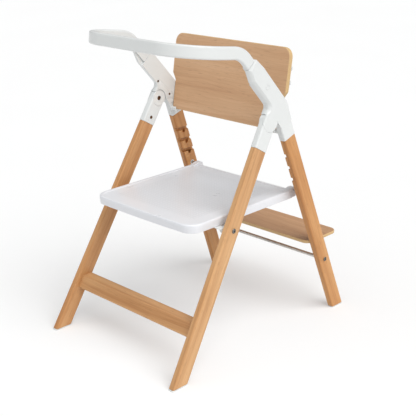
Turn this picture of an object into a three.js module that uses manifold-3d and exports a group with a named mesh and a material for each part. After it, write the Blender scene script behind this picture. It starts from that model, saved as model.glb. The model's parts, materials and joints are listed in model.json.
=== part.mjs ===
// A folding beech high chair: two A-shaped sides joined by plastic hubs, a moulded seat, a plywood
// backrest and footplate, and a lift-off guard rail. Millimetres, +Z up, the front faces -Y.
// The origin is on the floor, in the middle of the chair's footprint.
import * as THREE from "three";
import { mergeVertices } from "three/addons/utils/BufferGeometryUtils.js";
import Module from "manifold-3d";

const wasm = await Module();
wasm.setup();

const { sin, cos, tan, hypot, PI } = Math;
const degrees = (angle) => (angle * PI) / 180;

// ---------- Driving dimensions ----------
const GAP = 0.35; // play between pieces that meet
const HALF_WIDTH = 255; // outer faces of the legs at the floor
const HALF_DEPTH = 352.8; // toe of the front legs, heel of the rear legs
const SPLAY = degrees(2.75); // the sides lean in towards the hubs
const LEG_THICK = 20;
const LEG_WIDTH = 45;
const LEG_EDGE = 5; // edge radius
const FRONT_LEAN = degrees(31.4);
const REAR_LEAN = degrees(19.8);
const GLIDE_THICK = 3;
const PIVOT_Z = 617; // fold pivot, on the front legs' centre line
const HEAD_RADIUS = 23; // round head of the front sleeve
const SLEEVE_WALL = 2.6;
const TENON = 42; // leg length inside a sleeve
const FRONT_SLEEVE = 79; // pivot to the lower end of the front sleeve
const SLEEVE_SCREW = 52; // height of the pivot above the screw in the front sleeve
const REAR_SLEEVE_Z = 560.5; // lower end of the hub's rear sleeve
const HUB_INNER = 204.2;
const HUB_OUTER = 226.8;
const PLATE_THICK = 5.6; // hub's outer wall over the pivot
const TONGUE_RADIUS = 27.5; // round lower end of that wall, over the front sleeve
const ARM_TILT = degrees(42); // hub arm, forward of vertical
const RAIL_HEIGHT = 33;
const RAIL_THICK = 15;
const RAIL_SLOPE = degrees(7.8); // the rail rises towards the front
const RAIL_FRONT_Y = -231.5; // centre line of the front bar
const SEAT_TOP = 391.3;
const SEAT_DEPTH = 23.5;
const SEAT_HALF_WIDTH = 195.8;
const SEAT_FRONT_Y = -219;
const SEAT_REAR_Y = 183;
const SEAT_AXIS_Z = 361; // seat hinge, on the front legs' centre line
const SEAT_PIN_Z = 389; // rear pin, on the rear legs' centre line
const NOTCH_RISE = 35.8; // between one notch and the next
const PANEL_THICK = 13;
const PANEL_LEAN = degrees(9.9);
const PANEL_BOTTOM = 578;
const PANEL_FACE_Y = 100.9; // front face at its bottom edge
const PANEL_LENGTH = 222;
const FOOTPLATE_TOP = 233;
const FOOTPLATE_THICK = 9;
const BORE = { seat: 4.3, tieRod: 4.3, screw: 2.8, pivot: 4.5 }; // radii
const FOOTPLATE = { front: 214, depth: 137, corner: 24, groove: 5 };
const TIE_ROD_Z = 168;

// ---------- Materials ----------
const finish = (color, roughness, metalness) =>
  new THREE.MeshStandardMaterial({ color, roughness, metalness });
const beech = () => finish(0xd8a066, 0.55, 0);
const plywood = () => finish(0xc49a76, 0.6, 0);
const whitePlastic = () => finish(0xeff0ee, 0.35, 0);
const greyPlastic = () => finish(0xc8c8c4, 0.6, 0);
const steel = () => finish(0xb9babb, 0.3, 1);
const bronze = () => finish(0x5a4634, 0.45, 0.8);

// ---------- Solids: joining, cutting and mirroring ----------
function solid(geometry) {
  const bare = geometry.clone();
  bare.deleteAttribute("normal");
  bare.deleteAttribute("uv");
  const merged = mergeVertices(bare, 1e-4);
  return new wasm.Manifold(new wasm.Mesh({
    numProp: 3,
    vertProperties: new Float32Array(merged.attributes.position.array),
    triVerts: new Uint32Array(merged.index.array),
  }));
}

function faces(body) {
  const { vertProperties, triVerts } = body.getMesh();
  const geometry = new THREE.BufferGeometry();
  geometry.setAttribute("position", new THREE.BufferAttribute(vertProperties, 3));
  geometry.setIndex(new THREE.BufferAttribute(triVerts, 1));
  geometry.computeVertexNormals();
  return geometry;
}

const join = (...pieces) => faces(pieces.map(solid).reduce((a, b) => a.add(b)));
const cut = (piece, ...tools) => faces(tools.map(solid).reduce((a, b) => a.subtract(b), solid(piece)));
const overlap = (piece, ...tools) =>
  faces(tools.map(solid).reduce((a, b) => a.intersect(b), solid(piece)));

function mirrored(geometry) {
  const copy = mergeVertices(geometry.clone());
  copy.scale(-1, 1, 1);
  const index = copy.index.array;
  for (let i = 0; i < index.length; i += 3) {
    [index[i], index[i + 1]] = [index[i + 1], index[i]];
  }
  copy.computeVertexNormals();
  return copy;
}

// ---------- Outlines and basic shapes ----------
function roundedRect(width, height, radius) {
  const [x, y] = [width / 2, height / 2];
  return roundedOutline([[-x, -y, radius], [x, -y, radius], [x, y, radius], [-x, y, radius]]);
}

// A closed outline through corners [a, b, radius], each corner rounded by its own radius.
function roundedOutline(corners) {
  const shape = new THREE.Shape();
  corners.forEach(([a, b, radius = 0], i) => {
    const before = corners[(i + corners.length - 1) % corners.length];
    const after = corners[(i + 1) % corners.length];
    const towards = (other) => {
      const length = hypot(other[0] - a, other[1] - b);
      return [(other[0] - a) / length, (other[1] - b) / length];
    };
    const [inwards, outwards] = [towards(before), towards(after)];
    const turn = Math.acos(inwards[0] * outwards[0] + inwards[1] * outwards[1]);
    const trim = radius / tan(turn / 2);
    const move = i === 0 ? "moveTo" : "lineTo";
    shape[move](a + trim * inwards[0], b + trim * inwards[1]);
    if (radius > 0) {
      shape.quadraticCurveTo(a, b, a + trim * outwards[0], b + trim * outwards[1]);
    }
  });
  shape.closePath();
  return shape;
}

function extrude(shape, length, { bevel = 0, segments = 4, bevelSegments = 2 } = {}) {
  return new THREE.ExtrudeGeometry(shape, {
    depth: length - 2 * bevel,
    curveSegments: segments,
    bevelEnabled: bevel > 0,
    bevelThickness: bevel,
    bevelSize: bevel,
    bevelOffset: -bevel,
    bevelSegments,
  }).translate(0, 0, bevel);
}

// An outline drawn in the side view (Y, Z), given thickness from x0 to x1.
const sideways = new THREE.Matrix4().makeBasis(
  new THREE.Vector3(0, 1, 0), new THREE.Vector3(0, 0, 1), new THREE.Vector3(1, 0, 0));
const sidePlate = (shape, x0, x1, options) =>
  extrude(shape, x1 - x0, options).applyMatrix4(sideways).translate(x0, 0, 0);

const block = (x0, x1, y0, y1, z0, z1) =>
  new THREE.BoxGeometry(x1 - x0, y1 - y0, z1 - z0).translate((x0 + x1) / 2, (y0 + y1) / 2, (z0 + z1) / 2);

const crossPin = (point, radius, x0, x1, sides = 24) =>
  new THREE.CylinderGeometry(radius, radius, x1 - x0, sides)
    .rotateZ(-PI / 2).translate((x0 + x1) / 2, point.y, point.z);

// ---------- Places ----------
const frontCentreFloor = -HALF_DEPTH + LEG_WIDTH / 2 / cos(FRONT_LEAN);
const rearCentreFloor = HALF_DEPTH - LEG_WIDTH / 2 / cos(REAR_LEAN);
const onFrontLeg = (z) => ({ y: frontCentreFloor + z * tan(FRONT_LEAN), z });
const onRearLeg = (z) => ({ y: rearCentreFloor - z * tan(REAR_LEAN), z });
const legFace = (z) => HALF_WIDTH - z * tan(SPLAY); // outer face of a left leg at a height
const pivot = onFrontLeg(PIVOT_Z);
const seatAxis = onFrontLeg(SEAT_AXIS_Z);
const seatPin = onRearLeg(SEAT_PIN_Z);
const tieRod = onRearLeg(TIE_ROD_Z);
const alongLeg = (z, lean) => z / cos(lean) / cos(SPLAY); // height to distance along a leg

const legFrame = (side, floorY, lean) => {
  const frame = new THREE.Group();
  frame.position.set(side * HALF_WIDTH, floorY, 0);
  frame.rotation.set(lean, -side * SPLAY, 0, "YXZ");
  frame.updateMatrixWorld();
  return frame;
};
const frontFrames = [1, -1].map((side) => legFrame(side, frontCentreFloor, -FRONT_LEAN));
const rearFrames = [1, -1].map((side) => legFrame(side, rearCentreFloor, REAR_LEAN));
const chair = new THREE.Group();
chair.add(...frontFrames, ...rearFrames);

function add(name, material, geometry, frame = chair) {
  const mesh = new THREE.Mesh(geometry, material);
  mesh.name = name;
  if (frame !== chair) {
    geometry.applyMatrix4(frame.matrixWorld.clone().invert());
  }
  frame.add(mesh);
}

// A left-hand piece and its mirror image, each placed in its own side's frame.
function addPair(name, material, geometry, frames = [chair, chair]) {
  add(`${name}_left`, material(), geometry.clone(), frames[0]);
  add(`${name}_right`, material(), mirrored(geometry), frames[1]);
}

// A bar along a left leg, from one distance along it to another, centred on the leg's section.
function legBar(frame, start, end, width, thick, radius, segments = 3) {
  return extrude(roundedRect(thick, width, radius), end - start, { segments })
    .translate(-LEG_THICK / 2, 0, start)
    .applyMatrix4(frame.matrixWorld);
}

// ---------- Legs, glides and stretcher ----------
const frontSleeveEnd = alongLeg(PIVOT_Z, FRONT_LEAN) - FRONT_SLEEVE;
const rearSleeveEnd = alongLeg(REAR_SLEEVE_Z, REAR_LEAN);
const tenonWidth = LEG_WIDTH - 2 * SLEEVE_WALL;
const tenonThick = LEG_THICK - 2 * SLEEVE_WALL;
const sleeveScrew = onFrontLeg(PIVOT_Z - SLEEVE_SCREW);
const stretcher = { top: 143.5, bottom: 109.5, inset: 14, mortise: 12 };

const belowFloor = (z) => block(-400, 400, -500, 500, -200, z);

function legWithTenon(frame, shoulder) {
  const bar = legBar(frame, -60, shoulder - GAP, LEG_WIDTH, LEG_THICK, LEG_EDGE);
  const tenon = legBar(frame, shoulder - 5, shoulder + TENON, tenonWidth - GAP, tenonThick - GAP, 3);
  return cut(join(bar, tenon), belowFloor(GLIDE_THICK + GAP));
}

function glide(frame) {
  const pad = legBar(frame, -60, 60, LEG_WIDTH, LEG_THICK, LEG_EDGE);
  return overlap(pad, block(0, 400, -500, 500, 0, GLIDE_THICK));
}

// The stretcher's section: level top and bottom, front and rear faces along the legs.
function stretcherOutline(margin) {
  const corner = (z, edge) => onFrontLeg(z).y + edge;
  const half = LEG_WIDTH / 2 / cos(FRONT_LEAN);
  const [front, rear] = [-half + stretcher.inset / cos(FRONT_LEAN) + margin, half - 1 - margin];
  const [low, high] = [stretcher.bottom + margin, stretcher.top - margin];
  return roundedOutline([
    [corner(low, front), low, 4], [corner(low, rear), low, 4],
    [corner(high, rear), high, 4], [corner(high, front), high, 4]]);
}

function stretcherBar() {
  const mid = (stretcher.top + stretcher.bottom) / 2;
  const reach = legFace(mid) - LEG_THICK - GAP;
  const left = cut(
    sidePlate(stretcherOutline(0), -1, reach + 5, { segments: 3 }),
    block(-5, 0, -500, 500, 0, 400),
    block(0, 30, -500, 500, -100, 400).rotateY(-SPLAY).translate(HALF_WIDTH - LEG_THICK - GAP, 0, 0));
  const tenon = sidePlate(stretcherOutline(7), reach - 5, reach + stretcher.mortise, { segments: 2 });
  const half = join(left, tenon);
  return join(half, mirrored(half));
}

const mortise = sidePlate(stretcherOutline(7 - GAP), 200, legFace(126) - LEG_THICK + stretcher.mortise + 1);

const frontLeg = cut(
  legWithTenon(frontFrames[0], frontSleeveEnd),
  mortise,
  crossPin(seatAxis, BORE.seat, 200, 260),
  crossPin(sleeveScrew, BORE.screw, 200, 260, 16));
addPair("front_leg", beech, frontLeg, frontFrames);
addPair("front_glide", greyPlastic, glide(frontFrames[0]), frontFrames);
add("front_stretcher", beech(), stretcherBar());

// Notches for the seat pin: a level channel across the inner face, dropping into a round seat.
const NOTCH_DEPTH = 8;
function notch(point) {
  const inner = legFace(point.z) - LEG_THICK;
  const channel = roundedOutline([
    [point.y - 50, point.z + 4, 0], [point.y + 50, point.z + 4, 0],
    [point.y + 50, point.z + 15, 0], [point.y - 50, point.z + 15, 0]]);
  const drop = roundedOutline([
    [point.y - 4.8, point.z - 4.8, 4.5], [point.y + 4.8, point.z - 4.8, 4.5],
    [point.y + 7.5, point.z + 6, 0], [point.y - 4.8, point.z + 6, 0]]);
  return [channel, drop].map((shape) => sidePlate(shape, inner - 6, inner + NOTCH_DEPTH, { segments: 3 }));
}
const pinHole = (point, radius) => {
  const inner = legFace(point.z) - LEG_THICK;
  return crossPin(point, radius, inner - 6, inner + NOTCH_DEPTH);
};
const footplateInner = legFace(FOOTPLATE_TOP) - LEG_THICK;
const groove = block(footplateInner - 6, footplateInner + FOOTPLATE.groove, 150, 350,
  FOOTPLATE_TOP - FOOTPLATE_THICK - GAP, FOOTPLATE_TOP + GAP);
const notches = [1, 2, 3].flatMap((step) => notch(onRearLeg(SEAT_PIN_Z + step * NOTCH_RISE)));

const rearLeg = cut(
  legWithTenon(rearFrames[0], rearSleeveEnd),
  ...notches,
  pinHole(seatPin, 7.6),
  groove,
  crossPin(tieRod, BORE.tieRod, 200, 270));
addPair("rear_leg", beech, rearLeg, rearFrames);
addPair("rear_glide", greyPlastic, glide(rearFrames[0]), rearFrames);

// ---------- Front sleeves and fold pivots ----------
const plateInner = HUB_OUTER - PLATE_THICK;
const pivotHead = { radius: 6.5, recess: 2.2 };

function frontSleeve() {
  const frame = frontFrames[0];
  const top = alongLeg(PIVOT_Z, FRONT_LEAN);
  const tube = legBar(frame, frontSleeveEnd, top, 2 * HEAD_RADIUS, LEG_THICK + 1, LEG_EDGE);
  const head = crossPin(pivot, HEAD_RADIUS, HUB_INNER + 0.4, plateInner - 0.8, 40);
  const socket = legBar(frame, frontSleeveEnd - 5, frontSleeveEnd + TENON + 2, tenonWidth, tenonThick, 3);
  return cut(
    join(tube, head),
    socket,
    crossPin(pivot, TONGUE_RADIUS + GAP, plateInner - 0.8, 260, 48),
    block(150, HUB_INNER + 0.4, 0, 100, PIVOT_Z - 30, PIVOT_Z + 40),
    crossPin(pivot, BORE.pivot, 190, 240),
    crossPin(pivot, pivotHead.radius + 0.5, 190, HUB_INNER + pivotHead.recess + 2.5),
    crossPin(sleeveScrew, BORE.screw, 190, legFace(sleeveScrew.z) - SLEEVE_WALL - 0.5, 16),
    crossPin(sleeveScrew, 5, 190, legFace(sleeveScrew.z) - LEG_THICK + 0.8, 16));
}
addPair("front_sleeve", whitePlastic, frontSleeve(), frontFrames);

// A countersunk-head screw along X, its head towards the middle of the chair.
function innerScrew(point, headX, headRadius, headThick, shankRadius, endX) {
  const head = crossPin(point, headRadius, headX, headX + headThick, 20);
  const shank = crossPin(point, shankRadius, headX + headThick / 2, endX, 16);
  const recess = crossPin(point, headRadius * 0.45, headX - 1, headX + headThick * 0.45, 6);
  return cut(join(head, shank), recess);
}
addPair("fold_pivot", bronze,
  innerScrew(pivot, HUB_INNER + pivotHead.recess - 0.2, pivotHead.radius, 2.2, 4, HUB_OUTER - 2.6));
const screwSeat = legFace(sleeveScrew.z) - LEG_THICK;
addPair("front_sleeve_screw", bronze,
  innerScrew(sleeveScrew, screwSeat - 1, 4.6, 1.4, 2.4, screwSeat + 15));

// ---------- Hubs ----------
// The hub arm rises forwards. A point on it is given by its distance along the arm and across it,
// measured from the fold pivot.
const onArm = (along, across) => [
  pivot.y - along * sin(ARM_TILT) + across * cos(ARM_TILT),
  pivot.z + along * cos(ARM_TILT) + across * sin(ARM_TILT)];
const ARM = { front: 25.3, rear: 77.6, kink: 129, shoulder: 128, end: 163.5, endFront: 37, endRear: 73 };
const railAcross = 54.5; // the rail's centre line across the arm
const armDirection = [-sin(ARM_TILT), cos(ARM_TILT)];
const frontDirection = [sin(FRONT_LEAN), cos(FRONT_LEAN)];
const rearDirection = [-sin(REAR_LEAN), cos(REAR_LEAN)];
const step = ([y, z], [dy, dz], distance) => [y + distance * dy, z + distance * dz];

// Where two lines cross in the side view, each given by a point and a direction.
function crossing([y0, z0], [dy0, dz0], [y1, z1], [dy1, dz1]) {
  const t = ((y1 - y0) * dz1 - (z1 - z0) * dy1) / (dy0 * dz1 - dz0 * dy1);
  return step([y0, z0], [dy0, dz0], t);
}

const HUB_SHAPE = { tip: 11.5, clearance: 1.2, crotch: 18 };
function hubPoints() {
  const centre = [pivot.y, pivot.z];
  const rearFoot = onRearLeg(600);
  const rearCentre = [rearFoot.y, rearFoot.z];
  const acrossFront = [cos(FRONT_LEAN), -sin(FRONT_LEAN)];
  const acrossRear = [cos(REAR_LEAN), sin(REAR_LEAN)];
  const frontEdge = step(centre, acrossFront, -HEAD_RADIUS);
  const rearInner = step(rearCentre, acrossRear, -HEAD_RADIUS);
  const rearOuter = step(rearCentre, acrossRear, HEAD_RADIUS);
  // A folded front leg lies along the rear one, so the hub stays clear of it from here down.
  const clear = step(centre, acrossRear, HEAD_RADIUS + HUB_SHAPE.clearance);
  return {
    centre,
    tip: step(frontEdge, frontDirection, HUB_SHAPE.tip),
    clear,
    crotch: step(clear, rearDirection, -HUB_SHAPE.crotch),
    rearInner,
    rearOuter,
    heel: crossing(rearOuter, rearDirection, onArm(0, ARM.rear), armDirection),
    throat: crossing(frontEdge, frontDirection, onArm(0, ARM.front), armDirection),
  };
}
const hub = hubPoints();

// Where the hub's outer wall may reach round the pivot: not past the front sleeve's front edge,
// whose rounding it shares, nor up into the hub's chamfer.
function tongueField() {
  const field = [
    [-40, -HEAD_RADIUS], [12, -HEAD_RADIUS], [12, 7], [44, 25], [44, 40], [-40, 40]];
  return roundedOutline(field.map(([along, across]) => [
    pivot.y + along * frontDirection[0] + across * frontDirection[1],
    pivot.z + along * frontDirection[1] - across * frontDirection[0]]));
}

const hubOutline = roundedOutline([
  hub.tip, hub.centre, hub.clear, hub.crotch, hub.rearInner, hub.rearOuter, [...hub.heel, 24],
  [...onArm(ARM.shoulder, ARM.rear), 24], onArm(ARM.end, ARM.endRear),
  onArm(ARM.end, ARM.endFront), [...onArm(ARM.kink, ARM.front), 12], [...hub.throat, 12]]);

// The inner cover fills the hub's inner side around the pivot, below an upper edge at 45 degrees. The
// pocket behind it has the same outline, drawn further in.
const COVER = { thick: 3, rim: 2.2, upperEdge: 726, high: 675, low: 618, front: 46, bottom: 607 };
function coverOutline(inset) {
  const margin = COVER.rim + inset;
  const edge = COVER.upperEdge - 1.4 * inset;
  return roundedOutline([
    [edge - COVER.low, COVER.low, 2],
    [edge - COVER.high + inset, COVER.high - inset, 2],
    [...onArm(COVER.front - inset, ARM.front + margin), 2],
    [...step(hub.throat, [1, 0], margin), 4],
    step(hub.tip, [1, 0], margin), hub.centre, step(hub.clear, [1, 0], margin),
    step(hub.crotch, [1, 0.6], margin),
    [edge - COVER.low, COVER.bottom + inset, 1]]);
}
const coverScrews = [onArm(38.6, 32), onArm(-23.5, 34)].map(([y, z]) => ({ y, z }));

// The shoe that carries a lower corner of the backrest: a channel that opens upwards.
function panelShoe() {
  const wall = 4;
  const outer = roundedOutline([
    [-wall, -wall - 2, 5], [PANEL_THICK + wall, -wall - 2, 5],
    [PANEL_THICK + wall, 20, 2], [PANEL_THICK, 20, 0], [-wall, 2, 2]]);
  const inner = roundedOutline([
    [-GAP, -GAP], [PANEL_THICK + GAP, -GAP], [PANEL_THICK + GAP, 60], [-GAP, 60]]);
  const place = (shape, x0, x1) => sidePlate(shape, x0, x1, { segments: 3 })
    .rotateX(-PANEL_LEAN).translate(0, PANEL_FACE_Y, PANEL_BOTTOM);
  return cut(place(outer, 188, HUB_INNER + 4), place(inner, 150, HUB_INNER));
}

// A block in the hub arm, on the rail's centre line.
const RAIL_X = 214.5; // centre of the rail's ends
const PLUG = { thick: 10, height: 27, inRail: 22, inHub: 90 };
function armBlock(x0, x1, low, high, halfHeight, options) {
  return sidePlate(roundedOutline([
    onArm(low, railAcross - halfHeight), onArm(high, railAcross - halfHeight),
    onArm(high, railAcross + halfHeight), onArm(low, railAcross + halfHeight)]), x0, x1, options);
}

// Above this the arm is open towards the middle of the chair, and the rail's own wall fills it.
const RAIL_TONGUE = { low: 118, inner: 205, outer: 209.1 };
const buttonPlace = onArm(79, 52);
const BUTTON = { y: buttonPlace[0], z: buttonPlace[1], radius: 6.5, wall: 3.2, proud: 0.5 };

function hubShell() {
  const body = sidePlate(hubOutline, HUB_INNER, HUB_OUTER, { bevel: 2.4, segments: 4 });
  const pivotAlong = alongLeg(PIVOT_Z, FRONT_LEAN);
  const tongue = overlap(
    crossPin(pivot, TONGUE_RADIUS, plateInner, HUB_OUTER, 48),
    sidePlate(tongueField(), plateInner - 1, HUB_OUTER + 1),
    legBar(frontFrames[0], pivotAlong - 60, pivotAlong + 60, 2 * HEAD_RADIUS, LEG_THICK + 2.8, LEG_EDGE));
  const sleeve = legBar(rearFrames[0], rearSleeveEnd, rearSleeveEnd + 62, 2 * HEAD_RADIUS,
    LEG_THICK + 1, LEG_EDGE);
  const socket = legBar(rearFrames[0], rearSleeveEnd - 5, rearSleeveEnd + TENON + 2, tenonWidth,
    tenonThick, 3);
  const channel = armBlock(RAIL_X - PLUG.thick / 2 - GAP, RAIL_X + PLUG.thick / 2 + GAP,
    70, ARM.end + 5, PLUG.height / 2 + GAP);
  const shell = cut(
    join(body, tongue, sleeve, panelShoe()),
    socket,
    crossPin(pivot, HEAD_RADIUS + 0.8, 150, plateInner, 48),
    channel,
    armBlock(180, RAIL_TONGUE.outer + GAP, RAIL_TONGUE.low - GAP, ARM.end + 5, 40),
    sidePlate(coverOutline(0), 180, HUB_INNER + COVER.thick + GAP, { segments: 3 }),
    sidePlate(coverOutline(4), 180, plateInner, { segments: 3 }));
  const posts = coverScrews.map((at) =>
    crossPin(at, 4.6, HUB_INNER + COVER.thick + GAP, plateInner + 1, 16));
  return cut(
    join(shell, ...posts),
    ...coverScrews.map((at) => crossPin(at, 1.9, 150, plateInner - 2, 12)),
    crossPin(pivot, BORE.pivot, 200, HUB_OUTER - 2.2),
    crossPin(BUTTON, BUTTON.radius + GAP, 215, 240, 28),
    crossPin(BUTTON, BUTTON.radius + 1.6 + GAP, 215, HUB_OUTER - BUTTON.wall, 28));
}

function hubCover() {
  const plate = sidePlate(coverOutline(GAP), HUB_INNER, HUB_INNER + COVER.thick, { segments: 3 });
  return cut(plate,
    crossPin(pivot, HEAD_RADIUS + 1.4, 150, 260, 48),
    ...coverScrews.flatMap((at) => [
      crossPin(at, 1.9, 150, 260, 12), crossPin(at, 3.6, 150, HUB_INNER + 1.2, 16)]));
}

addPair("hub_shell", whitePlastic, hubShell());
addPair("hub_cover", whitePlastic, hubCover());
coverScrews.forEach((at, i) => addPair(`cover_screw_${i + 1}`, bronze,
  innerScrew(at, HUB_INNER - 0.2, 3.2, 1.2, 1.6, HUB_INNER + 12)));

function releaseButton() {
  const wall = HUB_OUTER - BUTTON.wall;
  const cap = crossPin(BUTTON, BUTTON.radius, wall - 1.8, HUB_OUTER + BUTTON.proud, 28);
  const flange = crossPin(BUTTON, BUTTON.radius + 1.6, wall - 1.8, wall - GAP, 28);
  const dish = new THREE.SphereGeometry(20, 28, 14)
    .translate(HUB_OUTER + BUTTON.proud + 19.2, BUTTON.y, BUTTON.z);
  return cut(join(cap, flange), dish);
}
addPair("release_button", whitePlastic, releaseButton());

// ---------- Guard rail ----------
const RAIL_FRONT_Z = 833.5;
const RAIL_CORNER = 110;
const RAIL_KNEE = 70;

function railPath() {
  const point = (x, back) => new THREE.Vector3(
    x, RAIL_FRONT_Y + back * cos(RAIL_SLOPE), RAIL_FRONT_Z - back * sin(RAIL_SLOPE));
  const onSocket = (x, along) => new THREE.Vector3(x, ...onArm(along, railAcross));
  const vertex = crossing([RAIL_FRONT_Y, RAIL_FRONT_Z], [cos(RAIL_SLOPE), -sin(RAIL_SLOPE)],
    onArm(0, railAcross), armDirection);
  const bend = PI / 2 - ARM_TILT - RAIL_SLOPE;
  const trim = RAIL_KNEE * tan(bend / 2);
  const vertexAlong = hypot(vertex[0] - onArm(0, railAcross)[0], vertex[1] - onArm(0, railAcross)[1]);
  const vertexBack = (vertex[0] - RAIL_FRONT_Y) / cos(RAIL_SLOPE);
  const pull = RAIL_CORNER * (1 - 0.5523); // a cubic's handle for a quarter circle
  const half = (x) => {
    const end = onSocket(x, ARM.end + GAP);
    const kneeLow = onSocket(x, vertexAlong - trim);
    const knee = new THREE.Vector3(x, ...vertex);
    const kneeHigh = point(x, vertexBack - trim);
    const cornerSide = point(x, RAIL_CORNER);
    const cornerFront = point(x - Math.sign(x) * RAIL_CORNER, 0);
    return [end, kneeLow, knee, kneeHigh, cornerSide, point(x, pull), point(x - Math.sign(x) * pull, 0),
      cornerFront];
  };
  const [left, right] = [half(RAIL_X), half(-RAIL_X)];
  const path = new THREE.CurvePath();
  path.add(new THREE.LineCurve3(left[0], left[1]));
  path.add(new THREE.QuadraticBezierCurve3(left[1], left[2], left[3]));
  path.add(new THREE.LineCurve3(left[3], left[4]));
  path.add(new THREE.CubicBezierCurve3(left[4], left[5], left[6], left[7]));
  path.add(new THREE.LineCurve3(left[7], right[7]));
  path.add(new THREE.CubicBezierCurve3(right[7], right[6], right[5], right[4]));
  path.add(new THREE.LineCurve3(right[4], right[3]));
  path.add(new THREE.QuadraticBezierCurve3(right[3], right[2], right[1]));
  path.add(new THREE.LineCurve3(right[1], right[0]));
  return path;
}

function guardRail() {
  const bar = new THREE.ExtrudeGeometry(roundedRect(RAIL_THICK, RAIL_HEIGHT, 4), {
    steps: 88, curveSegments: 2, extrudePath: railPath() });
  const pocket = armBlock(RAIL_X - PLUG.thick / 2 - GAP, RAIL_X + PLUG.thick / 2 + GAP,
    ARM.end - 5, ARM.end + PLUG.inRail + GAP, PLUG.height / 2 + GAP);
  const tongue = armBlock(RAIL_TONGUE.inner, RAIL_TONGUE.outer, RAIL_TONGUE.low, ARM.end + 6,
    RAIL_HEIGHT / 2);
  return cut(join(bar, tongue, mirrored(tongue)), pocket, mirrored(pocket));
}
add("guard_rail", whitePlastic(), guardRail());
addPair("rail_plug", greyPlastic, armBlock(RAIL_X - PLUG.thick / 2, RAIL_X + PLUG.thick / 2,
  ARM.end - PLUG.inHub, ARM.end + PLUG.inRail, PLUG.height / 2, { bevel: 1.2, bevelSegments: 1 }));

// ---------- Backrest ----------
const panelFrame = new THREE.Group();
panelFrame.position.set(0, PANEL_FACE_Y, PANEL_BOTTOM);
panelFrame.rotation.x = -PANEL_LEAN;
panelFrame.updateMatrixWorld();
chair.add(panelFrame);
const inPanel = (geometry) => geometry.applyMatrix4(panelFrame.matrixWorld);
// A plate in the panel's frame: an outline in X and up the panel, from one depth to another.
const panelPlate = (shape, front, rear, options) =>
  inPanel(extrude(shape, rear - front, options).rotateX(PI / 2).translate(0, rear, 0));
const PANEL = { lower: 203.6, upper: 217, stepLow: 86, stepHigh: 106, corner: 26 };
const KNOB = { x: 205.5, heights: [130, 168], radius: 8, dome: 8 };

const panelPoints = [
  [-PANEL.lower, 0, 8], [PANEL.lower, 0, 8],
  [PANEL.lower, PANEL.stepLow, 6], [PANEL.upper, PANEL.stepHigh, 6],
  [PANEL.upper, PANEL_LENGTH, PANEL.corner], [-PANEL.upper, PANEL_LENGTH, PANEL.corner],
  [-PANEL.upper, PANEL.stepHigh, 6], [-PANEL.lower, PANEL.stepLow, 6]];
const knobHole = (x, height) =>
  inPanel(new THREE.CylinderGeometry(2.9, 2.9, 30, 16).translate(x, PANEL_THICK + 7.5, height));
const knobHoles = [1, -1].flatMap((side) => KNOB.heights.map((height) => knobHole(side * KNOB.x, height)));
const panel = panelPlate(roundedOutline(panelPoints), 0, PANEL_THICK, { bevel: 1.6, segments: 5 });
add("backrest_panel", plywood(), cut(panel, ...knobHoles), panelFrame);

const BRACKET = { thick: 4.5, inner: 184, outer: 213, flange: 4, low: 10, top: 184 };
function backrestBracket() {
  const rear = PANEL_THICK + GAP;
  const side = HUB_INNER - GAP;
  const strip = panelPlate(roundedOutline([
    [BRACKET.inner, BRACKET.low + 20, 5], [side, BRACKET.low + 20, 0], [side, PANEL.stepHigh, 4],
    [BRACKET.outer, PANEL.stepHigh + 8, 4], [BRACKET.outer, BRACKET.top, 8],
    [BRACKET.inner, BRACKET.top, 8]]), rear, rear + BRACKET.thick, { bevel: 0.8, bevelSegments: 1 });
  const flange = inPanel(block(side - BRACKET.flange, side, rear + 0.5, rear + 13, BRACKET.low + 20, 56));
  return cut(join(strip, flange), ...knobHoles.slice(0, 2));
}
addPair("backrest_bracket", whitePlastic, backrestBracket());

function knob(height) {
  const profile = [[0, 0], [KNOB.radius, 0], [KNOB.radius, 3]];
  for (let i = 1; i <= 5; i += 1) {
    const angle = (i / 5) * (PI / 2);
    profile.push([KNOB.radius * cos(angle), 3 + (KNOB.dome - 3) * sin(angle)]);
  }
  const cap = new THREE.LatheGeometry(profile.map(([r, h]) => new THREE.Vector2(Math.max(r, 0), h)), 24);
  const shank = new THREE.CylinderGeometry(2.5, 2.5, 12, 12).translate(0, -5.5, 0);
  return inPanel(join(cap, shank)
    .translate(KNOB.x, PANEL_THICK + BRACKET.thick + 2 * GAP, height));
}
KNOB.heights.forEach((height, i) =>
  addPair(`backrest_knob_${i + 1}`, whitePlastic, knob(height)));

// ---------- Seat ----------
const seatBottom = SEAT_TOP - SEAT_DEPTH;
const SEAT = {
  corner: 38, bow: 3, wall: 4.5, earInner: 176, earRadius: 8.5, pinInner: 180, ribs: [-90, 0, 90],
  crossRibs: [-60, 60] };

function seatOutline(inset) {
  const w = SEAT_HALF_WIDTH - inset;
  const front = SEAT_FRONT_Y + inset;
  const rear = SEAT_REAR_Y - inset;
  const corner = SEAT.corner - inset;
  const shape = new THREE.Shape();
  shape.moveTo(-w, rear - 6);
  shape.lineTo(-w, front + corner + SEAT.bow);
  shape.quadraticCurveTo(-w, front + SEAT.bow, -w + corner, front + 0.75 * SEAT.bow);
  shape.quadraticCurveTo(0, front - 0.75 * SEAT.bow, w - corner, front + 0.75 * SEAT.bow);
  shape.quadraticCurveTo(w, front + SEAT.bow, w, front + corner + SEAT.bow);
  shape.lineTo(w, rear - 6);
  shape.quadraticCurveTo(w, rear, w - 6, rear);
  shape.lineTo(-w + 6, rear);
  shape.quadraticCurveTo(-w, rear, -w, rear - 6);
  return shape;
}

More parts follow.
